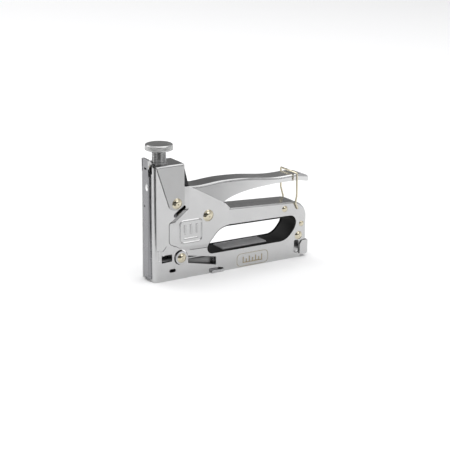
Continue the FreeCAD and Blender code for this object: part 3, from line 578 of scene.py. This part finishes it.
def rolled_edge(name, side):
    """Quarter of an ellipse beside the plate's long edge, from its face back to the shell's flange, carried along z."""
    turn = np.linspace(0, np.pi / 2, 9)
    thick, half = -plate_low.x, plate_high.y
    curve = np.stack([-thick * np.cos(turn), half + ROLL_REACH * np.sin(turn)], axis=1)
    section = np.concatenate([curve, [(0.0, half - ROLL_LAP), (-thick, half - ROLL_LAP)]]) * (1, side)
    path = np.array([(0, 0, plate_low.z), (0, 0, ROLL_TOP)])
    return carried(name, path, section, (1, 0, 0))


# The plate's long edges are rolled back onto the shells' flanges below the ears.
for side, name in ((-1, "plate_roll_near"), (1, "plate_roll_far")):
    placed(name, rolled_edge(name, side), "housing", PLATE)


DIMPLE_Y, DIMPLE_Z = -2.4, 84.5
DIMPLE_HALF_Y, DIMPLE_HALF_Z, DIMPLE_RISE = 2.0, 3.4, 0.9
# The dimple is far paler and glossier than the plate round it: a painted highlight on the dome.
DIMPLE_HIGHLIGHT = plated("painted_highlight_dimple", (0.85, 0.85, 0.85), 0.12)


def plate_dimple(y, z):
    """Smooth dome over an upright oval."""
    share = np.clip(1 - ((y - DIMPLE_Y) / DIMPLE_HALF_Y) ** 2 - ((z - DIMPLE_Z) / DIMPLE_HALF_Z) ** 2, 0, 1)
    return DIMPLE_RISE * share ** 0.8


y, z = np.meshgrid(DIMPLE_Y + np.linspace(-2.0, 2.0, 33), DIMPLE_Z + np.linspace(-3.5, 3.5, 53), indexing="ij")
dimple = np.stack([plate_low.x + 0.04 - plate_dimple(y, z), y, z], axis=2)
placed("front_dimple", grid_mesh("front_dimple", dimple * MM, inside_out=True), "housing", DIMPLE_HIGHLIGHT)


def turned(name, profile, centre, axis, segments=56, wobble=None):
    """A profile of (radius, height) pairs, in millimetres, turned once round an axis through centre.

    Points at radius nought merge into a pole. wobble(angle, height, radius) changes the radius, as knurls do.
    """
    profile = np.asarray(profile, float)
    angle = np.linspace(0, 2 * np.pi, segments, endpoint=False)
    radius, height = profile[:, :1], profile[:, 1:]
    if wobble:
        radius = wobble(angle[None], height, radius)
    across, deep = radius * np.cos(angle), radius * np.sin(angle)
    level = height + 0 * angle
    order = {"x": (level, across, deep), "y": (deep, level, across), "z": (across, deep, level)}[axis]
    points = np.stack(order, axis=2) + np.asarray(centre, float)
    mesh = grid_mesh(name, points * MM, ring_columns=True)
    form = bmesh.new()
    form.from_mesh(mesh)
    bmesh.ops.remove_doubles(form, verts=form.verts, dist=1e-7)
    bmesh.ops.recalc_face_normals(form, faces=form.faces)
    form.to_mesh(mesh)
    form.free()
    mesh.shade_smooth()
    mesh.set_sharp_from_angle(angle=math.radians(50))
    return mesh


def chamfered(radius, start, end, chamfer):
    """A plain pin's profile from start to end, each end cut back at 45 degrees by chamfer."""
    return [(0, start), (radius - chamfer, start), (radius, start + chamfer),
            (radius, end - chamfer), (radius - chamfer, end), (0, end)]


ZINC = plated("yellow_zinc", (0.62, 0.57, 0.44), 0.15, cloud=0.09)
pin_low, pin_high = (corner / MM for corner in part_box("front_plate_pin"))
pin_r, pin_end = (pin_high.x - pin_low.x) / 2, pin_high.y
pin_centre = ((pin_low.x + pin_high.x) / 2, 0, (pin_low.z + pin_high.z) / 2)
mesh = turned("plate_pin", chamfered(pin_r, -pin_end, pin_end, 0.15), pin_centre, "y", 20)
placed("plate_pin", mesh, "housing", ZINC, ["front_plate_pin"])


# Rivets: yellow-zinc steel, each a shank through both shells with a low dome at each end. The dome has a small
# punch mark in its middle, left by the riveting tool.
RIVETS = {
    # node: head radius, shank radius
    "head_rivet": (4.9, 2.5), "pivot_rivet": (5.3, 2.5), "magazine_rivet": (4.4, 2.0),
    "grip_rivet": (3.0, 1.4), "rear_small_rivet": (2.6, 1.3), "rear_large_rivet": (4.0, 1.9),
}
DOME_SHARE = 0.42
PUNCH_DEPTH, PUNCH_REACH = 0.22, 0.17  # shares of the dome's height and radius


def rivet_head(radius, height):
    """Half a rivet's profile from the pole out: part of a sphere, less a punch mark, with a rounded rim."""
    r = np.linspace(0, radius * 0.96, 22)
    ball = (radius ** 2 + height ** 2) / (2 * height)
    dome = height - ball + np.sqrt(ball ** 2 - r ** 2)
    mark = PUNCH_DEPTH * height * np.exp(-((r / (PUNCH_REACH * radius)) ** 2))
    rim = [(radius * 0.985, 0.12), (radius, 0.04), (radius * 0.99, 0.0)]
    return np.concatenate([np.stack([r, dome - mark], axis=1), rim])


for node, (head_r, shank_r) in RIVETS.items():
    low, high = (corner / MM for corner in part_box(node))
    head_height = DOME_SHARE * head_r
    seat = high.y - head_height
    half_profile = rivet_head(head_r, head_height) + (0, seat)
    outer = np.concatenate([half_profile, [(shank_r, seat)]])
    profile = np.concatenate([outer, outer[::-1] * (1, -1)])
    centre = ((low.x + high.x) / 2, 0, (low.z + high.z) / 2)
    placed(node + "_domed", turned(node + "_domed", profile, centre, "y"), "housing", ZINC, [node])


# Washers: two turned spacers of zinc-plated steel on the pivot rivet, one each side of the handle, which keep it in
# the middle of the body.
pressed("pivot_washers", "spacer_rings", "housing", ZINC, 0.2)


# Grip liner: one frame moulded in black plastic that lines the finger opening. It is snapped in between the shells
# and tucks under their edges.
LINER = blacked("black_plastic", (0.006, 0.006, 0.006), 0.55, depth=0.15, gloss_level=0.14)
pressed("grip_liner", "liner_frame", "housing", LINER, 0.3)


def circle(radius, sides=10):
    turn = np.arange(sides) * 2 * np.pi / sides
    return np.stack([radius * np.cos(turn), radius * np.sin(turn)], axis=1)


# The liner's lip: a rounded bead round the finger opening on each side, moulded with the liner, that hides the sheet's
# raw edge from the fingers.
OPENING = [
    # x, z and rounding of each corner of the opening, clockwise from the bottom front
    (53.0, 18.2, 5.5), (53.8, 28.2, 9.0), (66.8, 42.6, 18.0),
    (150.0, 41.0, 7.0), (147.2, 28.8, 14.0), (137.8, 17.9, 16.0),
]
LIP_IN, LIP_SINK = 0.55, 0.35
LIP_HALF_WIDTH, LIP_HALF_DEPTH = 0.75, 0.7
outline = round_path([(x, z) for x, z, _ in OPENING], [rounding for _, _, rounding in OPENING], ring=True, steps=10)
along = np.roll(outline, -1, axis=0) - np.roll(outline, 1, axis=0)
inward = np.stack([along[:, 1], -along[:, 0]], axis=1) / np.linalg.norm(along, axis=1, keepdims=True)
outline = outline + LIP_IN * inward
for side, name in ((-1, "liner_lip_near"), (1, "liner_lip_far")):
    level = np.full(len(outline), side * (HALF - LIP_SINK))
    path = np.stack([outline[:, 0], level, outline[:, 1]], axis=1)
    bead = circle(1.0, 12) * (LIP_HALF_DEPTH, LIP_HALF_WIDTH)
    placed(name, carried(name, path, bead, (0, 1, 0), ring=True), "housing", LINER)


# Liner insert: a soft grey pad laid in the liner under the fingers, moulded with ribs along the hand's way.
INSERT = blacked("grey_rubber", (0.29, 0.29, 0.295), 0.55, depth=0.2, gloss_level=0.3)
INSERT_RIBS, RIB_DEPTH, RIB_RUN_OUT = 7, 0.55, 0.25


def ribbed_pad():
    """A flat pad whose top is a row of raised cosines across y, worked out over x and y."""
    low, high = (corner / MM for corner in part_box("liner_insert"))
    x = np.concatenate([[low.x], np.linspace(low.x + RIB_RUN_OUT, high.x - RIB_RUN_OUT, 24), [high.x]])
    y = np.linspace(low.y, high.y, 8 * INSERT_RIBS + 1)
    x, y = np.meshgrid(x, y, indexing="ij")
    wave = np.abs(np.sin(np.pi * INSERT_RIBS * (y - low.y) / (high.y - low.y))) ** 0.6
    end = np.minimum(1.0, np.minimum(x - low.x, high.x - x) / RIB_RUN_OUT)
    top = high.z - RIB_DEPTH * (1 - wave * end)
    rows = np.concatenate([
        np.stack([x, y, top], axis=2), np.stack([x[::-1], y[::-1], np.full_like(x, low.z)], axis=2)])
    mesh = grid_mesh("ribbed_pad", rows * MM, ring_rows=True)
    form = bmesh.new()
    form.from_mesh(mesh)
    bmesh.ops.holes_fill(form, edges=[e for e in form.edges if e.is_boundary], sides=0)
    bmesh.ops.recalc_face_normals(form, faces=form.faces)
    form.to_mesh(mesh)
    form.free()
    mesh.shade_smooth()
    mesh.set_sharp_from_angle(angle=math.radians(50))
    return mesh


placed("ribbed_pad", ribbed_pad(), "housing", INSERT, ["liner_insert"])


# Squeeze handle: a deep channel pressed from 1.5 mm steel and nickel plated, open below and hinged on its rivet. Its
# colour is painted paler towards the free end than between the shells: a painted highlight.
HANDLE_DULL, HANDLE_BRIGHT = 0.36, 0.62
BRIGHT_FROM, BRIGHT_TO = 0.060, 0.125


def painted_highlight_along_x(material, dull, bright):
    """Base colour times a straight ramp along X: dull over bright before BRIGHT_FROM, and 1 after BRIGHT_TO; the paler
    rear is a painted highlight.
    """
    tree = material.node_tree
    shader = tree.nodes["Principled BSDF"]
    plating = shader.inputs["Base Color"].links[0].from_socket
    place = tree.nodes.new("ShaderNodeTexCoord")
    axes = tree.nodes.new("ShaderNodeSeparateXYZ")
    ramp = tree.nodes.new("ShaderNodeMapRange")
    ramp.inputs["From Min"].default_value = BRIGHT_FROM
    ramp.inputs["From Max"].default_value = BRIGHT_TO
    ramp.inputs["To Min"].default_value = dull / bright
    ramp.inputs["To Max"].default_value = 1.0
    highlighted = tree.nodes.new("ShaderNodeVectorMath")
    highlighted.operation = "SCALE"
    link = tree.links.new
    link(place.outputs["Object"], axes.inputs[0])
    link(axes.outputs["X"], ramp.inputs["Value"])
    link(plating, highlighted.inputs[0])
    link(ramp.outputs[0], highlighted.inputs["Scale"])
    link(highlighted.outputs[0], shader.inputs["Base Color"])
    return material


HANDLE = painted_highlight_along_x(plated("handle_nickel", (HANDLE_BRIGHT,) * 3, 0.2, cloud=0.06), HANDLE_DULL, HANDLE_BRIGHT)
pressed("squeeze_handle", "handle_pressing", "handle", HANDLE, 0.25)


# Return spring: a coil of oiled spring wire wound round the handle's rivet, between the washers, that pushes the
# handle up.
def blued(name, grey, roughness):
    """Oiled spring or tool steel: dark metal with slow patches of tone."""
    return plated(name, (grey, grey, grey * 1.05), roughness, cloud=0.2, grain=0.03)


def coil(name, centre, axis, radius, wire, length, turns, closed=1.0):
    """Wire of radius wire wound round axis, from centre along length.

    The angle runs evenly. The rise per turn is the wire's own thickness over the closed turns at both ends, and even
    between them.
    """
    turn = np.linspace(0, turns, int(turns * 20) + 1)
    flat = 2 * wire * 1.02
    middle = (length - 2 * wire - 2 * closed * flat) / (turns - 2 * closed)
    rise = wire + np.interp(turn, [0, closed, turns - closed, turns],
                            [0, closed * flat, closed * flat + middle * (turns - 2 * closed), length - 2 * wire])
    across, deep = radius * np.cos(2 * np.pi * turn), radius * np.sin(2 * np.pi * turn)
    order = {"x": (rise, across, deep), "y": (deep, rise, across), "z": (across, deep, rise)}[axis]
    steady = {"x": (1, 0, 0), "y": (0, 1, 0), "z": (0, 0, 1)}[axis]
    return carried(name, np.stack(order, axis=1) + centre, circle(wire), steady)


SPRING = blued("spring_wire", 0.22, 0.3)
RETURN_WIRE, RETURN_TURNS = 1.1, 4.4
low, high = (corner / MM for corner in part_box("return_spring"))
mean = (high.x - low.x) / 2 - RETURN_WIRE
centre = ((low.x + high.x) / 2, low.y, (low.z + high.z) / 2)
mesh = coil("return_coil", centre, "y", mean, RETURN_WIRE, high.y - low.y, RETURN_TURNS, closed=0.8)
placed("return_coil", mesh, "housing", SPRING, ["return_spring"])


# Driver stack in the head: rubber block on its bracket, blade guide, and the plunger with the blade that it drives.
DARK_STEEL = blued("oiled_steel", 0.13, 0.34)
RUBBER = blacked("black_rubber", (0.02, 0.02, 0.02), 0.75, depth=0.4)
pressed("bumper", "rubber_block", "housing", RUBBER, 0.6)
pressed("bumper_bracket", "block_bracket", "housing", DARK_STEEL, 0.2)
pressed("driver_guide", "blade_guide", "housing", DARK_STEEL, 0.2)
pressed("plunger", "plunger_block", "striker", DARK_STEEL, 0.3)
pressed("driver_blade", "blade", "striker", DARK_STEEL, 0.08)


# Trip lever: a pawl of oiled steel that lifts the plunger. It is carried on a chamfered cross pin that runs in the
# shells' slots.
pressed("trip_lever", "lever", "trip", DARK_STEEL, 0.25)
low, high = (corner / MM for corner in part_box("trip_pin"))
radius, end = (high.x - low.x) / 2, high.y
centre = ((low.x + high.x) / 2, 0, (low.z + high.z) / 2)
mesh = turned("lever_pin", chamfered(radius, -end, end, 0.25), centre, "y", 28)
placed("lever_pin", mesh, "trip", DARK_STEEL, ["trip_pin"])


# Main spring: heavy wire between the plunger and the spring seat. Its lower coils close as the handle lifts the
# plunger, and its upper coils close as the screw drives the seat down, so they are two meshes of one wire.
POWER_WIRE, SPLIT_Z = 1.1, 84.0
LOWER_TURNS, UPPER_TURNS = 5.5, 3.0
low, high = (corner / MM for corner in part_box("main_spring"))
mean = (high.x - low.x) / 2 - POWER_WIRE
centre = ((low.x + high.x) / 2, 0, low.z)
mesh = coil("power_coil", centre, "z", mean, POWER_WIRE, SPLIT_Z - low.z, LOWER_TURNS)
piece = placed("power_coil", mesh, "housing", SPRING, ["main_spring"])
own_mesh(piece)
mesh = coil("power_coil_top", (centre[0], 0, SPLIT_Z), "z", mean, POWER_WIRE, high.z - SPLIT_Z, UPPER_TURNS)
piece = placed("power_coil_top", mesh, "housing", SPRING)
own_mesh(piece)


# Spring seat: a washer turned from steel with a boss that centres the main spring. It lies loose on the spring, and
# the tension screw pushes it down.
pressed("spring_seat", "seat_washer", "seat", DARK_STEEL, 0.2)


# Tension screw: turned steel, bright, with a fine rolled thread of 1.5 mm pitch and a cone at its foot.
SCREW = plated("bright_screw", (0.36, 0.36, 0.36), 0.13, cloud=0.15)
THREAD_PITCH, THREAD_DEPTH = 1.5, 0.42
GROOVE_HALF_WIDTH = 0.42  # share of the pitch
screw_low, screw_high = (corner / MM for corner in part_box("tension_screw"))
SCREW_R = (screw_high.x - screw_low.x) / 2
SCREW_X = (screw_high.x + screw_low.x) / 2


def thread(angle, height, radius):
    """Radius less a V groove that climbs one pitch a turn, fading out over the last turn at each end."""
    climb = (height / THREAD_PITCH - angle / (2 * np.pi)) % 1.0
    groove = np.clip(1 - np.abs(climb - 0.5) / GROOVE_HALF_WIDTH, 0, 1)
    fade = np.clip((height - screw_low.z - 1.4) / 1.2, 0, 1) * (radius > SCREW_R - 0.01)
    return radius - THREAD_DEPTH * groove * fade


heights = np.arange(screw_low.z + 1.0, screw_high.z - 0.3, 0.1)
profile = np.concatenate([
    [(0, screw_low.z), (SCREW_R - 1.2, screw_low.z)], np.stack([np.full(len(heights), SCREW_R), heights], axis=1),
    [(SCREW_R - 0.3, screw_high.z), (0, screw_high.z)]])
mesh = turned("threaded_stem", profile, (SCREW_X, 0, 0), "z", 72, wobble=thread)
mesh.shade_smooth()
placed("threaded_stem", mesh, "knob", SCREW, ["tension_screw"])


# Tension knob: a turned steel disc pressed on the screw, its rim rolled with a diamond knurl, its top faced in the
# lathe.
KNOB = plated("knob_steel", (0.52, 0.52, 0.515), 0.24, cloud=0.1)
KNURLS, KNURL_DEPTH, KNURL_LEAN = 64, 0.32, 0.42
knob_low, knob_high = (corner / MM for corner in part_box("tension_knob"))
KNOB_R = (knob_high.x - knob_low.x) / 2
KNURL_LOW, KNURL_HIGH = knob_low.z + 0.8, knob_high.z - 1.3


def knurl(angle, height, radius):
    """Radius less two sets of crossing grooves, one leaning each way, between the chamfers."""
    lean = (height - KNURL_LOW) * KNURL_LEAN
    one = 0.5 - 0.5 * np.cos(KNURLS * angle + lean * 2 * np.pi)
    other = 0.5 - 0.5 * np.cos(KNURLS * angle - lean * 2 * np.pi)
    band = np.clip(np.minimum(height - KNURL_LOW, KNURL_HIGH - height) / 0.15, 0, 1) * (radius > KNOB_R - 0.01)
    return radius - KNURL_DEPTH * band * (1 - np.minimum(one, other))


rim = np.linspace(knob_low.z + 0.65, knob_high.z - 1.15, 22)
faced = np.linspace(KNOB_R - 1.5, 0, 40)
profile = np.concatenate([
    [(0, knob_low.z), (KNOB_R - 0.9, knob_low.z), (KNOB_R - 0.25, knob_low.z + 0.2)],
    np.stack([np.full(22, KNOB_R), rim], axis=1),
    [(KNOB_R - 0.12, knob_high.z - 0.75), (KNOB_R - 0.5, knob_high.z - 0.3), (KNOB_R - 0.95, knob_high.z - 0.06)],
    np.stack([faced, knob_high.z - 0.006 * (1 - np.cos(faced * 2 * np.pi / 1.1))], axis=1)])
mesh = turned("knurled_knob", profile, (SCREW_X, 0, 0), "z", 6 * KNURLS, wobble=knurl)
placed("knurled_knob", mesh, "knob", KNOB, ["tension_knob"])


# Magazine: a plated channel with a lug folded out on each side, and the rail inside it that the staples ride on.
CHANNEL = plated("channel_zinc", (0.50, 0.50, 0.505), 0.26, cloud=0.1)
pressed("magazine_channel", "magazine_pressing", "housing", CHANNEL, 0.2)
pressed("staple_rail", "rail_pressing", "housing", CHANNEL, 0.12)


# Staples: a strip of flat-wire staples glued side by side, astride the rail. Each shows as a fine upright rib.
STAPLE = plated("staple_zinc", (0.34, 0.34, 0.34), 0.32, cloud=0.12)
STAPLE_COUNT = 54
HALF_GAP, STAPLE_CORNER = 0.06, 0.8


def staple_row():
    """One staple's wire carried up, across and down, then repeated along x at an even pitch."""
    low, high = (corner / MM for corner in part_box("staple_strip"))
    pitch = (high.x - low.x) / STAPLE_COUNT
    half_wire, half_width = 0.35, pitch / 2 - HALF_GAP
    y, top = high.y - half_wire, high.z - half_wire
    bends = [(0, -y, low.z), (0, -y, top), (0, y, top), (0, y, low.z)]
    path = round_path(bends, [0, STAPLE_CORNER, STAPLE_CORNER, 0], steps=2)
    bevel = 0.16
    section = np.array([
        (half_width, -half_wire + bevel), (half_width, half_wire - bevel), (half_width - bevel, half_wire),
        (-half_width + bevel, half_wire), (-half_width, half_wire - bevel), (-half_width, -half_wire + bevel),
        (-half_width + bevel, -half_wire), (half_width - bevel, -half_wire)])
    one = carried("staple", path + (low.x + pitch / 2, 0, 0), section, (1, 0, 0))
    points = np.empty(len(one.vertices) * 3, np.float32)
    one.vertices.foreach_get("co", points)
    steps = np.arange(STAPLE_COUNT)
    shift = np.zeros((STAPLE_COUNT, 1, 3))
    shift[:, 0, 0] = steps * pitch * MM
    row = bpy.data.meshes.new("staple_row")
    step = steps[:, None, None] * len(one.vertices)
    faces = []
    for sides in (4, len(section)):
        corners = np.array([f.vertices for f in one.polygons if len(f.vertices) == sides])
        faces += (corners + step).reshape(-1, sides).tolist()
    row.from_pydata((points.reshape(1, -1, 3) + shift).reshape(-1, 3).tolist(), [], faces)
    row.shade_smooth()
    row.set_sharp_from_angle(angle=math.radians(30))
    return row


placed("staple_row", staple_row(), "housing", STAPLE, ["staple_strip"])


# Loader: the rear latch with its rod, and the pusher that a light spring drives along the rod against the staples.
LATCH = plated("latch_nickel", (0.52, 0.52, 0.52), 0.22, cloud=0.06)
pressed("rear_latch", "latch_pressing", "loader", LATCH, 0.25)
pressed("pusher", "pusher_block", "pusher", DARK_STEEL, 0.2)
low, high = (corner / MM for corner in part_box("pusher_rod"))
radius = (high.y - low.y) / 2
centre = (0, 0, (low.z + high.z) / 2)
mesh = turned("guide_rod", chamfered(radius, low.x, high.x, 0.3), centre, "x", 24)
placed("guide_rod", mesh, "loader", DARK_STEEL, ["pusher_rod"])
PUSHER_WIRE, PUSHER_TURNS = 0.45, 30
low, high = (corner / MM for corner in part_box("pusher_spring"))
mean = (high.y - low.y) / 2 - PUSHER_WIRE
start = (low.x, 0, (low.z + high.z) / 2)
mesh = coil("pusher_coil", start, "x", mean, PUSHER_WIRE, high.x - low.x, PUSHER_TURNS)
piece = placed("pusher_coil", mesh, "loader", SPRING, ["pusher_spring"])
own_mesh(piece)


# Handle lock: one bent zinc-plated wire whose ends spring into the shells. Its loop holds the handle down, and its
# legs have kinks that lean opposite ways, which makes it snap over.
BAIL_WIRE, BAIL_BEND = 0.9, 1.3
bail_low, bail_high = (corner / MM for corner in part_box("lock_bail"))
BAIL_X, BAIL_Z = 149.0, 47.0
leg_y, bar_z, pin_y = bail_high.y - BAIL_WIRE, bail_high.z - BAIL_WIRE, 9.8
near_leg = [(0, 0), (-2.7, 5.8), (-1.5, 12.5), (-1.8, bar_z - BAIL_Z)]
far_leg = [(-1.8, bar_z - BAIL_Z), (-1.2, 15.0), (1.5, 6.0), (0, 0)]
corners = [(BAIL_X, -pin_y, BAIL_Z)] + [(BAIL_X + dx, -leg_y, BAIL_Z + dz) for dx, dz in near_leg]
corners += [(BAIL_X + dx, leg_y, BAIL_Z + dz) for dx, dz in far_leg] + [(BAIL_X, pin_y, BAIL_Z)]
wire_path = round_path(corners, [0] + [BAIL_BEND] * 8 + [0], steps=5)
mesh = carried("bail_wire", wire_path, circle(BAIL_WIRE, 14), (1, 0, 0.02))
placed("bail_wire", mesh, "bail", ZINC, ["lock_bail"])
